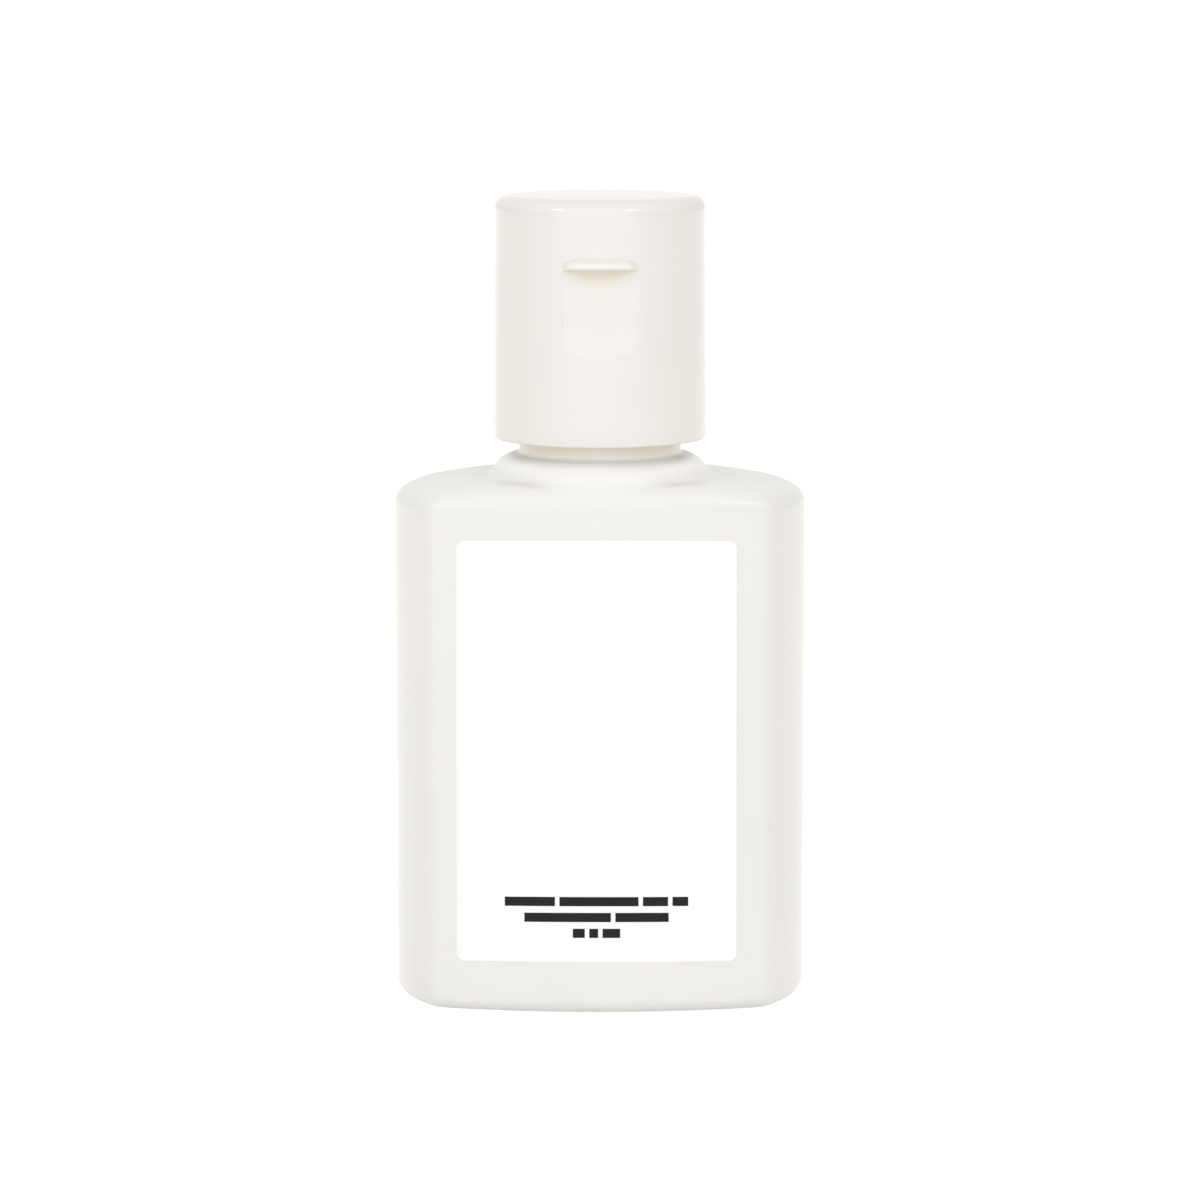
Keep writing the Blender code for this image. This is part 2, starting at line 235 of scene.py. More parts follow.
class Modelling(Graph):
    # A Geometry Nodes tree with named inputs
    def __init__(self, name, inputs):
        super().__init__(bpy.data.node_groups.new(name, "GeometryNodeTree"))
        self.tree.is_modifier = True
        kinds = {float: "NodeSocketFloat", int: "NodeSocketInt", None: "NodeSocketMaterial"}
        face = self.tree.interface
        face.new_socket("Geometry", in_out="OUTPUT", socket_type="NodeSocketGeometry")
        face.new_socket("Geometry", in_out="INPUT", socket_type="NodeSocketGeometry")
        self.keys = {}
        for label, value in {**inputs, "Material": None}.items():
            socket = face.new_socket(label, in_out="INPUT", socket_type=kinds[None if value is None else type(value)])
            if value is not None:
                socket.default_value = value
            self.keys[label] = socket.identifier
        self.source = self.add("NodeGroupInput")

    def input(self, label):
        return self.source.other(label)

    def position(self):
        return self.add("GeometryNodeInputPosition")

    def grid(self, width, height, columns, rows):
        sockets = {"Size X": width, "Size Y": height, "Vertices X": columns, "Vertices Y": rows}
        return self.add("GeometryNodeMeshGrid", {}, sockets)

    def placed(self, geometry, position):
        return self.add("GeometryNodeSetPosition", {}, {"Geometry": geometry, "Position": position})

    def welded(self, geometry, reach):
        # Joins points that are closer than reach, in millimetres
        return self.add("GeometryNodeMergeByDistance", {}, {"Geometry": geometry, "Distance": reach * mm})

    def end(self, geometry):
        whole = self.add("GeometryNodeRealizeInstances", {}, {0: geometry})
        painted = self.add("GeometryNodeSetMaterial", {}, {"Geometry": whole, "Material": self.input("Material")})
        self.add("NodeGroupOutput", {}, {0: painted})
        return self

    def build(self, name, points, values, lengths=None):
        # Runs the tree on a few points and keeps the result as a plain mesh
        start = bpy.data.meshes.new(name + "Points")
        start.from_pydata([Vector(p) * mm for p in points], [], [])
        if lengths:
            spans = start.attributes.new("barLength", "FLOAT", "POINT")
            spans.data.foreach_set("value", [length * mm for length in lengths])
        seed = newObject(name + "Seed", start)
        modifier = seed.modifiers.new(self.tree.name, "NODES")
        modifier.node_group = self.tree
        for label, value in values.items():
            modifier[self.keys[label]] = value
        bpy.context.view_layer.update()
        graph = bpy.context.evaluated_depsgraph_get()
        mesh = bpy.data.meshes.new_from_object(seed.evaluated_get(graph), depsgraph=graph)
        mesh.name = name
        bpy.data.objects.remove(seed)
        return mesh


def addPiece(name, mesh, body, nodes, material, sharp=40):
    # Puts a finished mesh in the scene, riding on its body in place of its CAD nodes
    mesh.materials.clear()
    mesh.materials.append(material)
    mesh.shade_smooth()
    mesh.set_sharp_from_angle(angle=math.radians(sharp))
    piece = newObject(name, mesh)
    if body:
        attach(piece, body)
    if nodes:
        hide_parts(*nodes)
    print(f"{name}: {len(mesh.polygons)} faces")
    return piece


def outward(mesh):
    # Turns a closed mesh's faces out, going by its signed volume, and drops edges that carry no face
    shape = bmesh.new()
    shape.from_mesh(mesh)
    bmesh.ops.delete(shape, geom=[edge for edge in shape.edges if not edge.link_faces], context="EDGES")
    if shape.calc_volume(signed=True) < 0:
        bmesh.ops.reverse_faces(shape, faces=shape.faces)
    shape.to_mesh(mesh)
    shape.free()
    return mesh


def skin(name, rings):
    # A closed skin over rings of points, each given in millimetres. The first and last rings close on a middle point.
    count = len(rings[0])
    points = [point for ring in rings for point in ring]
    faces = []
    for row in range(len(rings) - 1):
        for i in range(count):
            j = (i + 1) % count
            faces.append((row * count + i, row * count + j, (row + 1) * count + j, (row + 1) * count + i))
    for row in (0, len(rings) - 1):
        middle = len(points)
        points.append(np.mean(rings[row], axis=0))
        for i in range(count):
            pair = (row * count + i, row * count + (i + 1) % count)
            faces.append((*(pair[::-1] if row == 0 else pair), middle))
    mesh = bpy.data.meshes.new(name)
    mesh.from_pydata([Vector(p) * mm for p in points], [], faces)
    return outward(mesh)


bottle = {
    "width": 33.1, "depth": 19.0, "faceBulge": 1.8, "sideBulge": 3.1, "cornerFillet": 1.7, "leastFillet": 0.4,
    "shoulder": 42.5, "shoulderFall": 1.0, "fallSoftness": 1.5,
    "faceRoll": 1.8, "sideRoll": 1.3, "baseRoll": 1.2,
    "footWidth": 1.8, "footEdge": 0.25, "pushUp": 0.7, "pushUpSlope": 1.2, "pushUpCurve": 1.6, "dome": 0.12,
    "wall": 0.9,
    "neckRadius": 6.62, "neckFoot": 6.53, "lip": 57.6, "neckBore": 5.22, "lipEdge": 0.2,
    "collarFillet": 0.29, "collarTop": 44.19, "collarReach": 1.95, "collarRise": 1.85, "collarBlend": 1.0,
    "sideFacets": 12, "filletFacets": 8, "faceFacets": 22, "topRows": 58, "wallRows": 14,
    "rayPoints": 1500, "bendWindow": 25, "rowLength": 0.9, "rowTurn": 9,
    "domeRows": (0.15, 0.4, 0.7, 1), "neckFootRows": (44.9, 45.8), "neckRows": (46.6, 50, 54),
    "boreRow": 0.5, "roofRows": (0.0, 0.35, 0.7),
    "colour": (0.810, 0.797, 0.766), "scuffColour": (0.70, 0.685, 0.65), "roughness": 0.30,
    # Painted light makes the shoulder paler.
    "shoulderLightBand": (41.0, 42.3, 45.0, 50.0), "shoulderLightColour": (0.89, 0.878, 0.85),
    # Painted light makes the collar paler, and paler still at its sides.
    "collarLightBand": (42.9, 43.9, 44.5, 45.0), "collarLightColour": (0.89, 0.88, 0.865),
    # Painted light whitens the neck's root, where it meets the collar.
    "neckRootLightBand": (44.1, 44.2, 44.5, 44.9), "sides": (3.5, 7.0), "partingSides": (4.0, 6.0),
    # Painted shade makes the neck beige, and painted light pales its sides.
    "neckShadeBand": (44.25, 44.7, 45.6, 53.0), "neckShadeColour": (1.0, 0.90, 0.765), "neckSideLightColour": (1, 1, 0.94),
}


def arcRadius(halfChord, bulge):
    return (halfChord**2 + bulge**2) / (2 * bulge)


def planOutline(b, sideInset, faceInset, fine=1):
    # The body's plan: bowed sides, bowed faces and round corners, anticlockwise from +X
    cornerX, cornerY = b["width"] / 2 - b["sideBulge"], b["depth"] / 2 - b["faceBulge"]
    sideRadius, faceRadius = arcRadius(cornerY, b["sideBulge"]), arcRadius(cornerX, b["faceBulge"])
    sideX, faceY = b["width"] / 2 - sideRadius, b["depth"] / 2 - faceRadius
    fillet = max(b["cornerFillet"] - min(sideInset, faceInset), b["leastFillet"])
    side, face = sideRadius - sideInset, faceRadius - faceInset
    apart = math.hypot(sideX, faceY)
    along = ((side - fillet) ** 2 - (face - fillet) ** 2 + apart**2) / (2 * apart)
    across = math.sqrt((side - fillet) ** 2 - along**2)
    wayX, wayY = -sideX / apart, faceY / apart
    centre = max(
        ((sideX + wayX * along - s * wayY * across, wayY * along + s * wayX * across) for s in (1, -1)), key=sum
    )
    sideEnd = math.atan2(centre[1], centre[0] - sideX)
    faceStart = math.atan2(centre[1] - faceY, centre[0])
    quarter = []
    for middle, radius, start, end, facets in (
        ((sideX, 0), side, 0, sideEnd, b["sideFacets"] * fine),
        (centre, fillet, sideEnd, faceStart, b["filletFacets"] * fine),
        ((0, faceY), face, faceStart, math.pi / 2, b["faceFacets"] * fine),
    ):
        turn = start + (end - start) * np.arange(facets) / facets
        quarter.append(np.stack([middle[0] + radius * np.cos(turn), middle[1] + radius * np.sin(turn)], 1))
    quarter = np.vstack(quarter)
    upper = np.vstack([quarter, [[0, faceY + face]], quarter[:0:-1] * (-1, 1)])
    return np.vstack([upper, [[-quarter[0, 0], 0]], upper[:0:-1] * (1, -1)])


def reachAt(outline, angles):
    # How far a closed outline lies from the axis, at each angle
    turn = np.arctan2(outline[:, 1], outline[:, 0])
    return np.interp(angles, turn, np.hypot(outline[:, 0], outline[:, 1]), period=2 * math.pi)


def collarProfile(b):
    # The collar's section over the shoulder: a fillet at the neck, an elliptical roll, and a fillet to the shoulder
    turn, rise, reach, blend = b["collarFillet"], b["collarRise"], b["collarReach"], b["collarBlend"]
    middle, level = b["neckFoot"] + turn, b["collarTop"] - b["shoulder"]
    facets, samples, every = 24, 2000, 12
    sweep = np.linspace(0, math.pi / 2, facets)
    upper = np.stack([middle - turn * np.cos(sweep), level + turn - turn * np.sin(sweep)], 1)
    fall = np.linspace(math.pi / 2, 0, samples)
    roll = np.stack([middle + reach * np.cos(fall), level - rise + rise * np.sin(fall)], 1)
    way = np.stack([np.cos(fall) / reach, np.sin(fall) / rise], 1)
    way /= np.linalg.norm(way, axis=1)[:, None]
    meet = np.argmax(roll[:, 1] + blend * way[:, 1] < blend)
    centre = roll[meet] + blend * way[meet]
    sweep = np.linspace(math.atan2(-way[meet, 1], -way[meet, 0]) % (2 * math.pi), 1.5 * math.pi, facets)
    lower = np.stack([centre[0] + blend * np.cos(sweep), blend + blend * np.sin(sweep)], 1)
    return np.vstack([upper, roll[1:meet:every], lower])


def collarRise(b, radius):
    section = collarProfile(b)
    return np.interp(radius, section[:, 0], section[:, 1], right=0)


def roofHeight(b, x, inset=0):
    # The shoulder: level round the collar, then falling softly to the sides
    start = b["neckFoot"] + b["collarFillet"] + b["collarReach"]
    beyond = abs(x) - start
    soft = (beyond + np.sqrt(beyond**2 + b["fallSoftness"] ** 2)) / 2
    return b["shoulder"] - inset - b["shoulderFall"] * soft / (b["width"] / 2 - start)


def topRings(b):
    # From the wall over the shoulder's roll and the collar to the neck, in steps that are shorter where it bends
    outer, roof = planOutline(b, 0, 0, 8), planOutline(b, b["sideRoll"], b["faceRoll"], 8)
    wall = planOutline(b, 0, 0)
    angles = np.arctan2(wall[:, 1], wall[:, 0])
    rays = []
    for angle, far, near in zip(angles, reachAt(outer, angles), reachAt(roof, angles)):
        fine = np.sin(np.linspace(math.pi / 2, 0, b["rayPoints"]))
        radius = b["neckFoot"] + (far - b["neckFoot"]) * fine
        x = radius * math.cos(angle)
        share = np.clip((far - radius) / (far - near), 0, 1)
        sideways = np.minimum(abs(x) / (b["width"] / 2), 1) ** 2
        turn = b["faceRoll"] + (b["sideRoll"] - b["faceRoll"]) * sideways
        height = roofHeight(b, x) - turn * (1 - np.sqrt(1 - (1 - share) ** 2)) + collarRise(b, radius)
        step = np.hypot(np.diff(radius), np.diff(height))
        heading = np.unwrap(np.arctan2(np.diff(height), np.diff(radius)))
        window = np.ones(b["bendWindow"]) / b["bendWindow"]
        bend = np.convolve(abs(np.diff(heading, prepend=heading[0])), window, "same")
        travel = np.concatenate([[0], np.cumsum(step / b["rowLength"] + bend / math.radians(b["rowTurn"]))])
        stations = np.linspace(0, travel[-1], b["topRows"])
        r = np.interp(stations, travel, radius)
        z = np.interp(stations, travel, height)
        rays.append(np.stack([r * math.cos(angle), r * math.sin(angle), z], 1))
    return list(np.stack(rays, 1)), angles


def circleRing(radius, height, angles):
    return np.stack([radius * np.cos(angles), radius * np.sin(angles), np.full(len(angles), height)], 1)


def levelRing(outline, height):
    return np.column_stack([outline, np.broadcast_to(height, len(outline))])


def baseRings(b, inset):
    # The push-up, the foot it leaves and the base's roll, from the middle outwards
    turn = max(b["baseRoll"] - inset, b["leastFillet"])
    foot = inset + turn + b["footWidth"]
    edge = b["footEdge"]
    rings = []
    hollow = planOutline(b, foot + b["pushUpSlope"], foot + b["pushUpSlope"])
    for share in b["domeRows"]:
        rings.append(levelRing(hollow * share, b["pushUp"] + inset + b["dome"] * (1 - share**2)))
    for share in np.linspace(0.12, 1, 6):
        out = foot + b["pushUpSlope"] * (1 - share)
        rings.append(levelRing(planOutline(b, out, out), inset + b["pushUp"] * (1 - share) ** b["pushUpCurve"]))
    rings.append(levelRing(planOutline(b, foot - edge, foot - edge), inset))
    for angle in np.linspace(0, math.pi / 2, 10):
        reach = inset + turn * (1 - math.sin(angle))
        rings.append(levelRing(planOutline(b, reach, reach), inset + turn * (1 - math.cos(angle))))
    return rings


def bottleRings(b):
    # The whole closed skin: the base, the wall, the top and neck outside, then the inside down to its floor
    top, angles = topRings(b)
    rings = baseRings(b, 0)
    low, high = rings[-1], top[0]
    for share in np.arange(1, b["wallRows"]) / b["wallRows"]:
        rings.append(low + (high - low) * share)
    rings += top
    neck, edge, bore, lip = b["neckRadius"], b["lipEdge"], b["neckBore"], b["lip"]
    rings += [circleRing(b["neckFoot"], height, angles) for height in b["neckFootRows"]]
    rings += [circleRing(neck, height, angles) for height in b["neckRows"]]
    lipTurn = np.linspace(0, math.pi / 2, 5)
    for angle in lipTurn:
        rings.append(circleRing(neck - edge * (1 - math.cos(angle)), lip - edge * (1 - math.sin(angle)), angles))
    for angle in lipTurn:
        rings.append(circleRing(bore + edge * (1 - math.sin(angle)), lip - edge * (1 - math.cos(angle)), angles))
    rings.append(circleRing(bore, roofHeight(b, 0, b["wall"]) + b["boreRow"], angles))
    roof = planOutline(b, b["sideRoll"], b["faceRoll"])
    for share in b["roofRows"]:
        flat = circleRing(bore, 0, angles)[:, :2] * (1 - share) + roof * share
        rings.append(levelRing(flat, roofHeight(b, flat[:, 0], b["wall"])))
    wall = planOutline(b, b["wall"], b["wall"])
    for angle in np.linspace(math.pi / 2, 0, 6):
        flat = wall + (roof - wall) * (1 - math.cos(angle))
        sideways = np.minimum(abs(wall[:, 0]) / (b["width"] / 2 - b["wall"]), 1) ** 2
        turn = (b["faceRoll"] - b["wall"]) * (1 - sideways) + b["leastFillet"] * sideways
        rings.append(levelRing(flat, roofHeight(b, flat[:, 0], b["wall"]) - turn * (1 - math.sin(angle))))
    return rings + baseRings(b, b["wall"])[::-1]


screwRidge = {
    "pitch": 2.117, "depth": 0.65, "sunk": 0.3, "rootShare": 0.56, "crestShare": 0.23, "fadeTurns": 0.125,
    "turns": 2.0, "low": 51.516, "facets": 110,
}


def screwTree():
    # One helical ridge: a closed tube wound round the neck, flat below the wall's surface, that fades out at its ends
    sizes = {
        "Root Radius": 0.0066, "Depth": 0.0006, "Pitch": 0.002, "Turns": 2.0, "Low": 0.05,
        "Root Width": 0.0011, "Crest Share": 0.23, "Sunk": 0.0003, "Fade Turns": 0.125, "Facets": 110,
    }
    g = Modelling("Screw Ridge", sizes)
    # The outermost columns, past the flank's edge, close the tube under the wall's surface
    gridWidth, columns, flankEdge, rootHalf = 1.25, 11, 0.55, 0.5
    grid = g.grid(1.0, gridWidth, g.input("Turns") * g.input("Facets") + 1, columns)
    along, across, _ = g.parts(g.position())
    turn = (along + 0.5) * g.input("Turns")
    fade = (turn / g.input("Fade Turns")).rise(0, 1) * ((g.input("Turns") - turn) / g.input("Fade Turns")).rise(0, 1)
    flank = abs(across) < flankEdge
    crest = abs(across).rise(rootHalf, g.input("Crest Share")) * fade * flank
    radius = g.input("Root Radius") - g.input("Sunk") + (g.input("Depth") + g.input("Sunk")) * crest
    angle = turn * (2 * math.pi)
    height = g.input("Low") + g.input("Pitch") * turn + across * flank * g.input("Root Width") * fade
    place = g.vector(radius * angle.math("COSINE", angle), radius * angle.math("SINE", angle), height)
    return g.end(g.welded(g.placed(grid, place), 0.001))


def addRidge(shell, tree, s, root, inward, material):
    # Winds a ridge on a round wall and joins it to that wall's mesh
    way = -1 if inward else 1
    sizes = inMetres({
        "Root Radius": root, "Depth": way * s["depth"], "Sunk": way * s["sunk"], "Pitch": s["pitch"],
        "Root Width": s["pitch"] * s["rootShare"], "Low": s["low"],
    })
    values = {
        **sizes, "Turns": s["turns"], "Fade Turns": s["fadeTurns"], "Facets": s["facets"],
        "Crest Share": s["crestShare"], "Material": material,
    }
    ridge = outward(tree.build("ridge", [(0, 0, 0)], values))
    shape = bmesh.new()
    shape.from_mesh(shell)
    shape.from_mesh(ridge)
    shape.to_mesh(shell)
    shape.free()
    return shell


def bottlePlastic(b):
    # Satin polyethylene: an orange-peel skin, slow ripples, the mould's parting line, and scuffs low down.
    # The shoulder, the collar, the neck's root and the sides of the collar and neck carry painted light that makes
    # them paler, and the neck carries a beige painted shade.
    g = Shader("Bottle polyethylene")
    x, y, z = g.parts(g.place)
    cloud = g.noise(0.09, 3, 0.55)
    grain = g.noise(5.5, 2, 0.5)
    parting = abs(y).rise(0.16, 0.02) * abs(x).rise(*b["partingSides"])
    scuff = g.noise(1.1, 5, 0.7, (1, 1, 0.3)).rise(0.58, 0.72) * z.rise(2.2, 0.2)
    radius, side = fromMiddle(x, y), abs(x).rise(*b["sides"])
    # Painted light on the collar and the neck's root, and painted shade on the neck
    collar = z.between(*b["collarLightBand"]) * radius.rise(9.4, 8.4)
    corner = z.between(*b["neckRootLightBand"]) * radius.rise(7.1, 6.8)
    neck = z.between(*b["neckShadeBand"]) * radius.rise(7.0, 6.7)
    tone = g.mix(cloud.rise(0.3, 0.7), scaled(b["colour"], 0.992), scaled(b["colour"], 1.008))
    # Painted light on the shoulder, the collar, the neck's root and the sides of the collar and neck; beige painted
    # shade on the neck; the scuffs are real wear
    tone = g.paint(tone, [
        (scuff * 0.25, b["scuffColour"]), (z.between(*b["shoulderLightBand"]) * 0.5, b["shoulderLightColour"]),
        (collar * 0.8, b["collarLightColour"]), (collar * side * 0.7, white), (corner, white),
        (neck, b["neckShadeColour"]), (neck * side * 0.6, b["neckSideLightColour"]),
    ])
    relief = g.bump(grain, 0.0015)
    relief = g.bump(g.noise(0.16, 1, 0.4), 0.02, relief)
    relief = g.bump(parting + g.noise(2.4, 1, 0.5, (1, 1, 0.2)) * parting * 0.5, 0.03, relief)
    rough = b["roughness"] + scuff * 0.15
    return g.finish({"Base Color": tone, "Roughness": rough, "Normal": relief, "IOR": 1.51})


print("blowing the bottle")
screw = screwTree()
bottleFinish = bottlePlastic(bottle)
shell = skin("bottleShell", bottleRings(bottle))
shell = addRidge(shell, screw, screwRidge, bottle["neckRadius"], False, bottleFinish)
addPiece("bottleShell", shell, "bottle", ["bottle"], bottleFinish, 50)


def turnedCapTree():
    # Turns a closed profile about Z, then moves its outer wall: a scoop and a lip in front, a pad behind
    sizes = {
        "Rows": 10, "Facets": 400, "Crowding": 0.5,
        "Wall Radius": 0.0085, "Draft": 0.0001, "Low": 0.045, "High": 0.059, "Edge": 0.0003,
        "Scoop Width": 0.006, "Scoop Depth": 0.0, "Scoop Flat Low": 0.055, "Scoop Curve": 0.006,
        "Lip Width": 0.006, "Lip Reach": 0.0, "Lip Low": 0.0594, "Lip Height": 0.001, "Lip Nose": 0.0002,
        "Pad Width": 0.0064, "Pad Plane": 0.0085, "Pad Low": 0.057, "Pad High": 0.0593, "Softness": 0.00005,
    }
    g = Modelling("Turned Cap Part", sizes)
    rows = g.input("Rows")
    grid = g.grid(1.0, 1.0, g.input("Facets") + 1, rows + 1)
    u, v, _ = g.parts(g.position())
    row = ((v + 0.5) * rows + 0.5).floor() % rows
    sampled = g.add(
        "GeometryNodeSampleIndex", {"data_type": "FLOAT_VECTOR", "domain": "POINT"},
        {"Geometry": g.input("Geometry"), "Value": g.position(), "Index": row},
    )
    radius, _, height = g.parts(sampled)
    twice = u * (4 * math.pi)
    angle = (u - g.input("Crowding") * twice.math("SINE", twice) / (4 * math.pi)) * (2 * math.pi)
    turned = g.vector(radius * angle.math("SINE", angle), radius * angle.math("COSINE", angle) * -1, height)
    body = g.placed(grid, turned)

    x, y, z = g.parts(g.position())
    wide = abs(x)
    fall = (g.input("High") - z) / (g.input("High") - g.input("Low"))
    wallRadius = g.input("Wall Radius") + g.input("Draft") * fall
    wallY = circleHeight(wallRadius, x)
    onWall = fromMiddle(x, y) > g.input("Wall Radius") - g.input("Edge")
    soft = g.input("Softness")
    front, rear = (y < 0) * onWall, (y > 0) * onWall

    curve = g.input("Scoop Curve")
    below = (g.input("Scoop Flat Low") - z).most(0)
    floor = g.input("Wall Radius") - g.input("Scoop Depth") + curve - circleHeight(curve, below)
    halfScoop = g.input("Scoop Width") * 0.5
    scoop = (wallY - floor).most(0) * wide.rise(halfScoop + soft, halfScoop - soft) * front

    halfLip = g.input("Lip Width") * 0.5
    tip = g.input("Wall Radius") + g.input("Lip Reach")
    rising = tip - circleHeight(g.input("Wall Radius"), halfLip)
    bow = (halfLip * halfLip + rising * rising) / (rising * 2)
    lipY = tip - bow + circleHeight(bow, x)
    out = wide / halfLip
    crest = g.input("Lip Height") * (1 - out * out * out * out * out * out).root()
    up = z - g.input("Lip Low")
    undercut, roundFrom = 0.25, 0.55
    nose = (1 - up.rise(g.input("Lip Nose"), 0) * undercut) * up.rise(crest, crest * roundFrom)
    lip = (lipY - wallY).most(0) * nose * (wide < halfLip) * front

    halfPad = g.input("Pad Width") * 0.5
    padSides = wide.rise(halfPad + soft, halfPad - soft)
    padEnds = z.rise(g.input("Pad Low") - soft, g.input("Pad Low") + soft)
    padEnds = padEnds * z.rise(g.input("Pad High") + soft, g.input("Pad High") - soft)
    pad = (g.input("Pad Plane") - wallY) * padSides * padEnds * rear

    moved = g.add("GeometryNodeSetPosition", {}, {"Geometry": body, "Offset": g.vector(0, scoop - lip + pad, 0)})
    return g.end(g.welded(moved, 0.002))


def roundedProfile(corners, steps=5):
    # A closed outline of (radius, height) from corners that may each carry a fillet
    smallFillet, fewSteps = 0.03, 3
    points = []
    count = len(corners)
    for i, (r, z, *rest) in enumerate(corners):
        fillet = rest[0] if rest else 0
        here = np.array([r, z], float)
        if not fillet:
            points.append(here)
            continue
        back = np.array(corners[i - 1][:2], float) - here
        ahead = np.array(corners[(i + 1) % count][:2], float) - here
        back, ahead = back / np.linalg.norm(back), ahead / np.linalg.norm(ahead)
        half = math.acos(np.clip(back @ ahead, -1, 1)) / 2
        middle = here + (back + ahead) / np.linalg.norm(back + ahead) * fillet / math.sin(half)
        start, end = here + back * fillet / math.tan(half), here + ahead * fillet / math.tan(half)
        a, b = start - middle, end - middle
        sweep = math.acos(np.clip(a @ b / fillet**2, -1, 1))
        for share in np.linspace(0, 1, steps if fillet > smallFillet else fewSteps):
            spoke = a * math.sin((1 - share) * sweep) + b * math.sin(share * sweep)
            points.append(middle + spoke / math.sin(sweep))
    return points


def denser(points, spans):
    # Adds rows to a profile's upright outer stretches. Each span is (low, high, longest step).
    leastStretch, wallFrom, longStep, slack = 0.3, 8, 1.2, 1e-6
    result = []
    for here, ahead in zip(points, points[1:] + points[:1]):
        result.append(here)
        across, along = abs(ahead - here)
        if across > leastStretch or min(here[0], ahead[0]) < wallFrom or along < leastStretch:
            continue
        heights = [here[1]]
        while heights[-1] < ahead[1]:
            at = heights[-1] + slack
            step = next((s for low, high, s in spans if low <= at < high), longStep)
            heights.append(heights[-1] + step)
        for height in heights[1:-1]:
            share = (height - here[1]) / (ahead[1] - here[1])
            result.append(here + (ahead - here) * share)
    return result


capShared = {  # what the skirt and the lid have in common
    "radius": 8.47, "wallDepth": 0.25, "facets": 400,
    "padWidth": 6.4, "padHeight": 2.0, "padPlane": 8.5, "padPast": 1.0,
    # Painted light pales the rims at the seam and the tab's front.
    "seam": 59.48, "rimLightBand": (0.12, 0.04), "tabLightBand": (59.0, 59.4, 60.3, 60.6),
    "colour": (0.803, 0.785, 0.754), "wornColour": (0.83, 0.815, 0.785), "rimLightColour": (1.0, 0.985, 0.96),
    # Painted light on the tab's front.
    "tabLightColour": (0.95, 0.935, 0.905),
}
capSkirt = {
    **capShared, "bore": 7.49, "draft": 0.13, "bottom": 45.45, "ledge": 59.48, "underside": 58.2,
    "footEdge": 0.2, "ledgeEdge": 0.01,
    "orifice": 1.6, "spoutWall": 1.0, "spoutHeight": 2.0, "spoutEdge": 0.4,
    "ringRadius": 7.37, "ringWall": 0.8, "ringHeight": 1.0, "bead": 0.08, "beadDrop": 0.25,
    "scoopWidth": 6.0, "scoopDepth": 0.6, "scoopFlatLow": 55.2, "scoopCurve": 6.125, "scoopFront": (-7.2, -7.6),
    "rowSpans": [(47, 51.6, 0.7), (51.6, 59.6, 0.11)],
    "gateHeight": 56.8, "gateRadius": 0.2, "gateColour": (0.74, 0.71, 0.66),
    # A cream painted shadow of the tab on the scoop below it.
    "tabShadow": (0.825, 0.768, 0.675), "tabShadowRise": (57.7, 58.9), "tabShadowSides": (3.3, 2.4), "tabShadowBow": 0.08,
    "roughness": 0.22,
}
capThread = dict(screwRidge, turns=1.5, low=50.611)


def skirtProfile(c):
    foot = c["radius"] + c["draft"]
    spout, spoutTop = c["orifice"] + c["spoutWall"], c["ledge"] + c["spoutHeight"]
    ring, bead, drop, ringTop = c["ringRadius"], c["bead"], c["beadDrop"], c["ledge"] + c["ringHeight"]
    corners = [
        (c["bore"], c["bottom"], 0.12), (foot, c["bottom"], c["footEdge"]),
        (c["radius"], c["ledge"], c["ledgeEdge"]),
        (ring, c["ledge"], 0.05), (ring, ringTop - 2 * drop, 0.1), (ring + bead, ringTop - drop, 0.08),
        (ring - bead, ringTop, 0.12), (ring - c["ringWall"], ringTop, 0.12), (ring - c["ringWall"], c["ledge"], 0.2),
        (spout, c["ledge"], 0.35), (spout, spoutTop, c["spoutEdge"]), (c["orifice"], spoutTop, 0.15),
        (c["orifice"], c["underside"], 0.1), (c["bore"], c["underside"], 0.2),
    ]
    return denser(roundedProfile(corners), c["rowSpans"])


def capValues(c, rows, material, sizes):
    # The turned tree's inputs: those of both parts, and the part's own sizes
    shared = {
        "Wall Radius": c["radius"], "Pad Width": c["padWidth"], "Pad Plane": c["padPlane"], "Edge": c["wallDepth"],
    }
    return {"Rows": rows, "Facets": c["facets"], "Material": material, **inMetres({**shared, **sizes})}


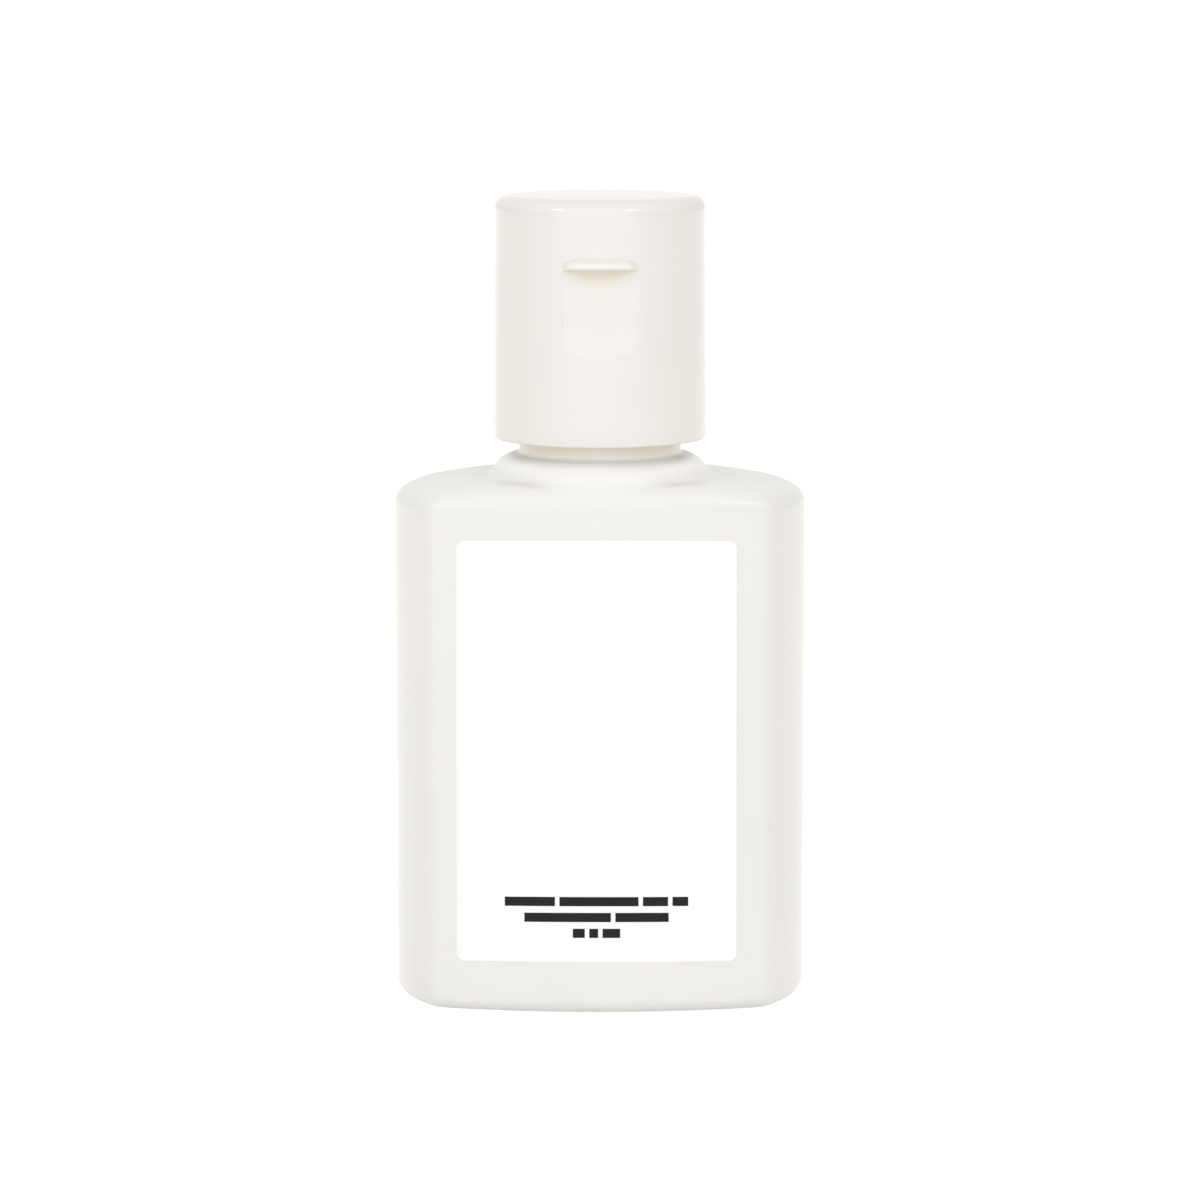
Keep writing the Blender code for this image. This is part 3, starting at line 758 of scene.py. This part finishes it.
def capPlastic(name, c, scoop=False):
    # Smoother polypropylene: fine polishing lines round the wall, painted light that pales the rims and the tab, and
    # flow marks at the gate.
    # The scoop carries a cream painted shadow of the tab, below it.
    g = Shader(name)
    x, y, z = g.parts(g.place)
    cloud = g.noise(0.12, 3, 0.5)
    grain = g.noise(7.0, 2, 0.5)
    lines = g.noise(3.0, 2, 0.6, (0.08, 0.08, 2.2))
    wear = g.noise(0.9, 5, 0.68)
    # painted light on the rims at the seam
    rim = abs(z - c["seam"]).rise(*c["rimLightBand"]) * fromMiddle(x, y).rise(8.2, 8.4)
    # painted light on the tab's front
    tab = y.rise(-8.3, -8.7) * abs(x).rise(3.3, 3.0) * z.between(*c["tabLightBand"])
    tone = g.mix(cloud.rise(0.3, 0.7), scaled(c["colour"], 0.994), scaled(c["colour"], 1.006))
    tone = g.paint(tone, [
        (wear.rise(0.62, 0.8) * 0.08, c["wornColour"]), (rim * 0.2, c["rimLightColour"]), (tab * 0.4, c["tabLightColour"]),
    ])
    relief = g.bump(grain * 0.5 + lines * 0.5, 0.0008)
    relief = g.bump(g.noise(0.2, 1, 0.4), 0.008, relief)
    if scoop:
        away = fromMiddle(x, z - c["gateHeight"])
        inFront = y.rise(*c["scoopFront"])
        gate = away.rise(c["gateRadius"], c["gateRadius"] * 0.35) * inFront
        halo = away.rise(c["gateRadius"] * 1.9, c["gateRadius"]) * inFront
        # painted shadow of the tab on the scoop
        tabShadow = (z - x * x * c["tabShadowBow"]).rise(*c["tabShadowRise"]) * abs(x).rise(*c["tabShadowSides"]) * inFront
        tone = g.paint(tone, [((halo - gate) * 0.1 + gate * 0.06, c["gateColour"]), (tabShadow, c["tabShadow"])])
        relief = g.bump(gate, 0.02, relief)
    rough = c["roughness"] + (wear - 0.5) * 0.06 + (lines - 0.5) * 0.03
    return g.finish({"Base Color": tone, "Roughness": rough, "Normal": relief, "IOR": 1.5})


print("moulding the cap's skirt")
turnedCap = turnedCapTree()
skirtFinish = capPlastic("Cap polypropylene", capSkirt, True)
profile = skirtProfile(capSkirt)
skirtValues = capValues(capSkirt, len(profile), skirtFinish, {
    "Draft": capSkirt["draft"], "Low": capSkirt["bottom"], "High": capSkirt["ledge"],
    "Scoop Width": capSkirt["scoopWidth"], "Scoop Depth": capSkirt["scoopDepth"],
    "Scoop Flat Low": capSkirt["scoopFlatLow"], "Scoop Curve": capSkirt["scoopCurve"],
    "Pad Low": capSkirt["ledge"] - capSkirt["padHeight"], "Pad High": capSkirt["ledge"] + capSkirt["padPast"],
})
skirt = outward(turnedCap.build("capSkirt", [(r, 0, z) for r, z in profile], skirtValues))
skirt = addRidge(skirt, screw, capThread, capSkirt["bore"], True, skirtFinish)
addPiece("capSkirt", skirt, "cap", ["cap_base"], skirtFinish, 32)

flipLid = {
    **capShared, "bottom": 59.483, "height": 5.417, "wall": 0.9, "top": 1.0, "edge": 1.1, "rimEdge": 0.01,
    "crown": 0.05, "crownEdge": 2.2, "crownRow": 5.0,
    "plugRadius": 1.48, "plugBottom": 60.1, "plugTaper": 0.25, "plugTip": 0.6,
    "lipWidth": 6.0, "lipReach": 0.9, "lipHeight": 0.89, "lipNose": 0.18,
    "scoopDepth": -1.0,  # a depth below nought cuts no scoop
    "rowSpans": [(0, 1.2, 0.045), (1.2, 2.3, 0.12)], "roughness": 0.13,
}


def lidProfile(c):
    top, inner, bore = c["bottom"] + c["height"], c["bottom"] + c["height"] - c["top"], c["radius"] - c["wall"]
    plug, plugBottom, low = c["plugRadius"], c["plugBottom"], c["bottom"]
    corners = [
        (0, plugBottom), (plug - c["plugTaper"], plugBottom, 0.1), (plug, plugBottom + c["plugTip"], 0.3),
        (plug, inner, 0.3), (bore, inner, 0.35), (bore, low, 0.12),
        (c["radius"], low, c["rimEdge"]), (c["radius"], top, c["edge"]), (c["radius"] - c["crownEdge"], top),
        (c["radius"] - c["crownRow"], top + c["crown"] * 0.6), (0, top + c["crown"]),
    ]
    return denser(roundedProfile(corners, 9), [(low + start, low + end, step) for start, end, step in c["rowSpans"]])


print("moulding the flip lid")
lidFinish = capPlastic("Lid polypropylene", flipLid)
profile = lidProfile(flipLid)
lidValues = capValues(flipLid, len(profile), lidFinish, {
    "Draft": 0.0, "Low": flipLid["bottom"], "High": flipLid["bottom"] + flipLid["height"],
    "Scoop Depth": flipLid["scoopDepth"], "Lip Width": flipLid["lipWidth"], "Lip Reach": flipLid["lipReach"],
    "Lip Low": flipLid["bottom"], "Lip Height": flipLid["lipHeight"], "Lip Nose": flipLid["lipNose"],
    "Pad Low": flipLid["bottom"] - flipLid["padPast"], "Pad High": flipLid["bottom"] + flipLid["padHeight"],
})
lid = outward(turnedCap.build("flipLid", [(r, 0, z) for r, z in profile], lidValues))
addPiece("flipLid", lid, "lid", ["cap_lid"], lidFinish, 32)

hinge = {
    "seat": 8.55, "axis": 9.0, "axisHeight": 59.35, "waist": 0.55, "rings": 33, "around": 16,
    "filmPast": 0.1, "filmHalf": 0.35, "filmThick": 0.2, "filmInner": 2.1, "filmOuter": 3.2, "filmBend": 0.2,
    "strapPast": 0.35, "strapHalf": 1.6, "strapThick": 0.3, "strapWide": 2.6, "strapBend": 1.45,
    "colour": capShared["colour"], "creaseColour": (0.95, 0.945, 0.935), "roughness": 0.32,
}


def hingePlastic(h):
    # The moulding's own plastic, whitened in fine creases where it has been bent
    g = Shader("Hinge polypropylene")
    _, _, z = g.parts(g.place)
    crease = abs(z - h["axisHeight"]).rise(0.3, 0.02) * g.noise(6.0, 3, 0.6, (0.3, 1, 4)).rise(0.35, 0.65)
    tone = g.mix(crease * 0.7, h["colour"], h["creaseColour"])
    relief = g.bump(g.noise(8.0, 2, 0.5, (0.4, 1, 2)) + crease, 0.004)
    return g.finish({"Base Color": tone, "Roughness": h["roughness"] + crease * 0.2, "Normal": relief, "IOR": 1.5})


def bentStrip(name, h, past, half, thick, low, high):
    # A strip with round edges that bows past the hinge axis and is thinnest at the bend
    reach = h["axis"] + past - h["seat"]
    rings = []
    for turn in np.linspace(-math.pi / 2, math.pi / 2, h["rings"]):
        thin = thick * (1 - (1 - h["waist"]) * math.cos(turn) ** 6)
        out = np.array([reach * math.cos(turn), half * math.sin(turn)])
        inner = np.array([(reach - thick) * math.cos(turn), (half - thick) * math.sin(turn)])
        inner = out + (inner - out) * thin / thick
        middle, span = (out + inner) / 2, (out - inner) / 2
        ring = []
        for spot in np.arange(h["around"]) / h["around"] * 2 * math.pi + math.pi / h["around"]:
            side = math.copysign(abs(math.cos(spot)) ** 0.25, math.cos(spot))
            face = math.copysign(abs(math.sin(spot)) ** 0.5, math.sin(spot))
            y, z = middle + span * face
            ring.append((low + (high - low) * (side + 1) / 2, h["seat"] + y, h["axisHeight"] + z))
        rings.append(np.array(ring))
    return skin(name, rings)


print("bending the hinge")
hingeFinish = hingePlastic(hinge)
film = (hinge["filmPast"], hinge["filmHalf"], hinge["filmThick"])
strap = (hinge["strapPast"], hinge["strapHalf"], hinge["strapThick"])
strips = [
    ("hingeFilmLeft", "hinge_film_left", film, -hinge["filmOuter"], -hinge["filmInner"], hinge["filmBend"]),
    ("hingeFilmRight", "hinge_film_right", film, hinge["filmInner"], hinge["filmOuter"], hinge["filmBend"]),
    ("hingeStrap", "hinge_strap", strap, -hinge["strapWide"] / 2, hinge["strapWide"] / 2, hinge["strapBend"]),
]
for name, node, sizes, low, high, bending in strips:
    strip = addPiece(name, bentStrip(name, hinge, *sizes, low, high), None, [node], hingeFinish)
    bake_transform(strip)

label = {
    "width": 22.3, "flare": 0.005, "bottom": 4.34, "top": 38.26, "corner": 0.65,
    "gap": 0.012, "thickness": 0.045, "sag": 0.18,
    "columns": 72, "rows": 40, "colour": (0.96, 0.96, 0.96), "roughness": 0.42,
    "edgeBand": 0.09, "edgeColour": (0.86, 0.85, 0.83),
    "inkColour": (0.012, 0.012, 0.013), "paleInkColour": (0.016, 0.016, 0.017), "inkLift": 0.02,
    "inkRoughness": 0.5, "inkGloss": 0.15,
}
bowSizes = {"Face Radius": 0.05, "Face Centre": 0.04, "Side": -1.0, "Width": 0.02, "Shift": 0.0, "Sag": 0.0}


def labelTree():
    # A sheet with round corners that lies on the bowed face, with its thickness, a little wider at its foot
    sizes = {
        **bowSizes, "Bottom": 0.004, "Top": 0.038, "Corner": 0.0006, "Flare": 0.0,
        "Gap": 0.0001, "Thickness": 0.0001, "Columns": 72, "Rows": 40,
    }
    g = Modelling("Label Sheet", sizes)
    grid = g.grid(2.0, 2.0, g.input("Columns"), g.input("Rows"))
    u, v, _ = g.parts(g.position())
    half, corner = g.input("Width") * 0.5 * (1 - g.input("Flare") * v), g.input("Corner")
    x = half * (u * 1.5 - u * u * u * 0.5)
    drop = corner - circleHeight(corner, (abs(x) - (half - corner)).most(0))
    middle = (g.input("Top") + g.input("Bottom")) * 0.5 - g.input("Sag") * (x * x) / (half * half)
    z = middle + v * ((g.input("Top") - g.input("Bottom")) * 0.5 - drop)
    x = x + g.input("Shift")
    radius = g.input("Face Radius") + g.input("Gap")
    y = (g.input("Face Centre") + circleHeight(radius, x)) * g.input("Side")
    sheet = g.placed(grid, g.vector(x, y, z))
    thick = g.add("GeometryNodeExtrudeMesh", {}, {
        "Mesh": sheet, "Offset": g.vector(0, g.input("Side"), 0), "Offset Scale": g.input("Thickness"),
        "Individual": False,
    })
    rear = g.add("GeometryNodeFlipFaces", {}, {"Mesh": sheet})
    both = g.add("GeometryNodeJoinGeometry", {}, {0: thick})
    g.tree.links.new(rear.socket, both.socket.node.inputs[0])
    return g.end(g.welded(both, 0.001))


def printTree():
    # Plain bars, one for each point and as long as its barLength, laid on the bowed label
    g = Modelling("Printed Bars", {**bowSizes, "Bar Height": 0.0007, "Lift": 0.0001})
    columns, rows = 24, 3
    bar = g.grid(1.0, 1.0, columns, rows)
    length = g.add("GeometryNodeInputNamedAttribute", {"data_type": "FLOAT"}, {"Name": "barLength"})
    spread = g.add("GeometryNodeInstanceOnPoints", {}, {
        "Points": g.input("Geometry"), "Instance": bar, "Scale": g.vector(length, g.input("Bar Height"), 1),
    })
    flat = g.add("GeometryNodeRealizeInstances", {}, {0: spread})
    x, z, _ = g.parts(g.position())
    half = g.input("Width") * 0.5
    z = z - g.input("Sag") * (x * x) / (half * half)
    x = g.input("Shift") - x * g.input("Side")
    radius = g.input("Face Radius") + g.input("Lift")
    y = (g.input("Face Centre") + circleHeight(radius, x)) * g.input("Side")
    return g.end(g.placed(flat, g.vector(x, y, z)))


def labelFilm(c):
    # Coated white film: a close grain, a slow change of gloss and slightly darker cut edges
    g = Shader("Label film")
    x, _, _ = g.parts(g.place)
    grain = g.noise(4.5, 3, 0.6)
    fibre = g.noise(2.2, 2, 0.5, (1, 1, 0.35))
    edge = abs(x).rise(c["width"] / 2 - c["edgeBand"], c["width"] / 2)
    tone = g.mix(fibre.rise(0.3, 0.75) * 0.5, c["colour"], scaled(c["colour"], 0.985))
    tone = g.mix(edge * 0.3, tone, c["edgeColour"])
    relief = g.bump(grain * 0.6 + fibre * 0.4, 0.003)
    rough = c["roughness"] + (fibre - 0.5) * 0.12
    return g.finish({"Base Color": tone, "Roughness": rough, "Normal": relief, "IOR": 1.48})


def labelInk(c):
    # Dark matt ink with a fine grain
    g = Shader("Label ink")
    grain = g.noise(9.0, 3, 0.6)
    tone = g.mix(grain.rise(0.55, 0.8) * 0.4, c["inkColour"], c["paleInkColour"])
    relief = g.bump(grain, 0.002)
    rough = c["inkRoughness"] + (grain - 0.5) * 0.2
    return g.finish({"Base Color": tone, "Roughness": rough, "Normal": relief, "Specular IOR Level": c["inkGloss"]})


def barSpots(blocks, gap):
    # Bar centres and lengths, from blocks of (first row's height, row step, rows), each row centred on x = 0
    spots, lengths = [], []
    for height, step, rows in blocks:
        for i, bars in enumerate(rows):
            at = -(sum(bars) + gap * (len(bars) - 1)) / 2
            for bar in bars:
                spots.append((at + bar / 2, height - step * i, 0))
                lengths.append(bar)
                at += bar + gap
    return spots, lengths


frontPrint = {
    "barHeight": 0.74, "gap": 0.36, "shift": -0.28,
    "blocks": [(9.26, 1.29, [(4.0, 6.3, 2.0, 1.25), (6.9, 4.25), (0.95, 0.7, 1.4)])],
}
backPrint = {
    "barHeight": 0.42, "gap": 0.45, "shift": 0.15,
    "blocks": [
        (34.6, 1.3, [(7.2, 5.0)]),
        (32.4, 1.05, [
            (3.1, 4.4, 2.0, 5.1, 2.6), (5.2, 2.2, 3.8, 4.0, 2.0), (2.4, 5.6, 3.0, 4.9),
            (4.6, 1.8, 3.3, 5.4, 1.9), (3.8, 4.1),
        ]),
        (25.4, 1.05, [
            (4.9, 3.2, 2.1, 4.6, 2.3), (2.0, 4.4, 5.3, 3.9, 1.6), (3.6, 2.7, 4.8, 2.2, 3.5),
            (5.5, 3.0, 2.4, 4.2), (2.9, 3.3, 2.0),
        ]),
        (17.6, 1.05, [(4.2, 2.6, 3.7, 4.9), (3.0, 5.2, 2.1), (4.4, 3.4)]),
    ],
}

print("laying the labels")
faceRadius = arcRadius(bottle["width"] / 2 - bottle["sideBulge"], bottle["faceBulge"])
faceCentre = bottle["depth"] / 2 - faceRadius
filmFinish, inkFinish = labelFilm(label), labelInk(label)
sheetTree, barTree = labelTree(), printTree()


def addLabel(name, node, side, bars):
    # Lays the sheet on its face of the bottle, and the bars on the sheet
    sizes = inMetres({
        "Face Radius": faceRadius, "Face Centre": faceCentre,
        "Width": label["width"], "Sag": label["sag"], "Shift": bars["shift"],
    })
    bow = {**sizes, "Side": side}
    sizes = inMetres({
        "Bottom": label["bottom"], "Top": label["top"], "Corner": label["corner"],
        "Gap": label["gap"], "Thickness": label["thickness"],
    })
    values = {
        **bow, **sizes, "Flare": label["flare"], "Columns": label["columns"], "Rows": label["rows"],
        "Material": filmFinish,
    }
    sheet = outward(sheetTree.build(name, [(0, 0, 0)], values))
    addPiece(name, sheet, "bottle", [node], filmFinish)
    spots, lengths = barSpots(bars["blocks"], bars["gap"])
    lift = label["gap"] + label["thickness"] + label["inkLift"]
    values = {**bow, "Bar Height": bars["barHeight"] * mm, "Lift": lift * mm, "Material": inkFinish}
    ink = barTree.build(name + "Print", spots, values, lengths)
    addPiece(name + "Print", ink, "bottle", [], inkFinish)


addLabel("frontLabel", "front_label", -1.0, frontPrint)
addLabel("backLabel", "back_label", 1.0, backPrint)


sealRing = {
    "cellScale": 6.0, "cellDepth": 0.03, "colour": (0.84, 0.83, 0.80), "cellColour": (0.76, 0.75, 0.72),
    "roughness": 0.8,
}


def sealFoam(s):
    # Closed-cell foam, on the washer that stays a CAD piece
    g = Shader("Seal foam")
    cells = g.add("ShaderNodeTexVoronoi", {}, {"Vector": g.place, "Scale": s["cellScale"]})
    tone = g.mix(cells.rise(0.1, 0.5), s["colour"], s["cellColour"])
    relief = g.bump(cells, s["cellDepth"])
    return g.finish({"Base Color": tone, "Roughness": s["roughness"] - cells * 0.1, "Normal": relief})


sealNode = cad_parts["seal_ring"]
sealNode.data.materials.clear()
sealNode.data.materials.append(sealFoam(sealRing))

studio = {
    "front": (0.70, 0.70, 0.70), "sides": (0.88, 0.83, 0.72), "above": (0.76, 0.76, 0.76), "aboveFrom": (0.15, 0.7),
    "floorRadius": 6000, "floorDrop": 0.02, "floorFacets": 96,
    "floorColour": (0.8, 0.8, 0.8), "floorGlow": (0.03, 0.03, 0.03), "backdropGlow": 0.75,
    "away": 900, "lampHeight": 32,
    "lamps": {  # azimuth, elevation, width, height, watts
        "leftBox": (-51, 34, 180, 180, 0.45),
        "rightBox": (38, 34, 180, 180, 0.55),
        "keyBox": (-4, 36, 1200, 450, 1.15),
        "frontBox": (-4, 4, 1800, 600, 2.47),
    },
}


def seenDirectly(g):
    # One for rays from the camera or a glossy or clear face, and nought for the light that falls on the object
    path = g.add("ShaderNodeLightPath", {}, {}, "Is Camera Ray")
    return path.most(path.other("Is Glossy Ray")).most(path.other("Is Transmission Ray"))


def makeStudio(s):
    # A pale room that looks white, four lamps, and a white floor to stand on
    world = bpy.data.worlds.new("paleStudio")
    bpy.context.scene.world = world
    world.use_nodes = True
    g = Graph(world.node_tree)
    world.node_tree.nodes.clear()
    _, y, z = g.parts(g.add("ShaderNodeTexCoord", {}, {}, "Generated"))
    around = g.mix((y * -1).rise(0.0, 1.0), s["sides"], s["front"])
    level = g.mix(z.rise(*s["aboveFrom"]), around, s["above"])
    soft = g.add("ShaderNodeBackground", {}, {"Color": level})
    plain = g.add("ShaderNodeBackground", {}, {"Color": (*white, 1)})
    both = g.add("ShaderNodeMixShader", {}, {0: seenDirectly(g), 1: soft, 2: plain})
    g.add("ShaderNodeOutputWorld", {}, {"Surface": both})
    for name, (azimuth, elevation, width, height, watts) in s["lamps"].items():
        data = bpy.data.lights.new(name, "AREA")
        data.shape, data.size, data.size_y, data.energy = "RECTANGLE", width * mm, height * mm, watts
        light = newObject(name, data)
        turn, lift = math.radians(azimuth), math.radians(elevation)
        way = Vector((math.sin(turn) * math.cos(lift), -math.cos(turn) * math.cos(lift), math.sin(lift)))
        light.location = Vector((0, 0, s["lampHeight"] * mm)) + way * (s["away"] * mm)
        light.rotation_euler = way.to_track_quat("Z", "Y").to_euler()
    shape = bmesh.new()
    bmesh.ops.create_circle(shape, cap_ends=True, segments=s["floorFacets"], radius=s["floorRadius"] * mm)
    mesh = bpy.data.meshes.new("studioFloor")
    shape.to_mesh(mesh)
    shape.free()
    floor = newObject("studioFloor", mesh)
    floor.location.z = -s["floorDrop"] * mm
    g = Shader("Floor white")
    matte = g.add("ShaderNodeBsdfDiffuse", {}, {"Color": (*s["floorColour"], 1)})
    soft = g.add("ShaderNodeEmission", {}, {"Color": (*s["floorGlow"], 1)})
    glow = g.add("ShaderNodeEmission", {}, {"Color": (*white, 1), "Strength": s["backdropGlow"]})
    shown = g.add("ShaderNodeMixShader", {}, {0: seenDirectly(g), 1: soft, 2: glow})
    both = g.add("ShaderNodeAddShader", {}, {0: matte, 1: shown})
    g.add("ShaderNodeOutputMaterial", {}, {"Surface": both})
    mesh.materials.append(g.material)
    floor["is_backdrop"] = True


makeStudio(studio)
bpy.context.scene.view_settings.view_transform = "Standard"
print("studio lit")

low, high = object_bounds()
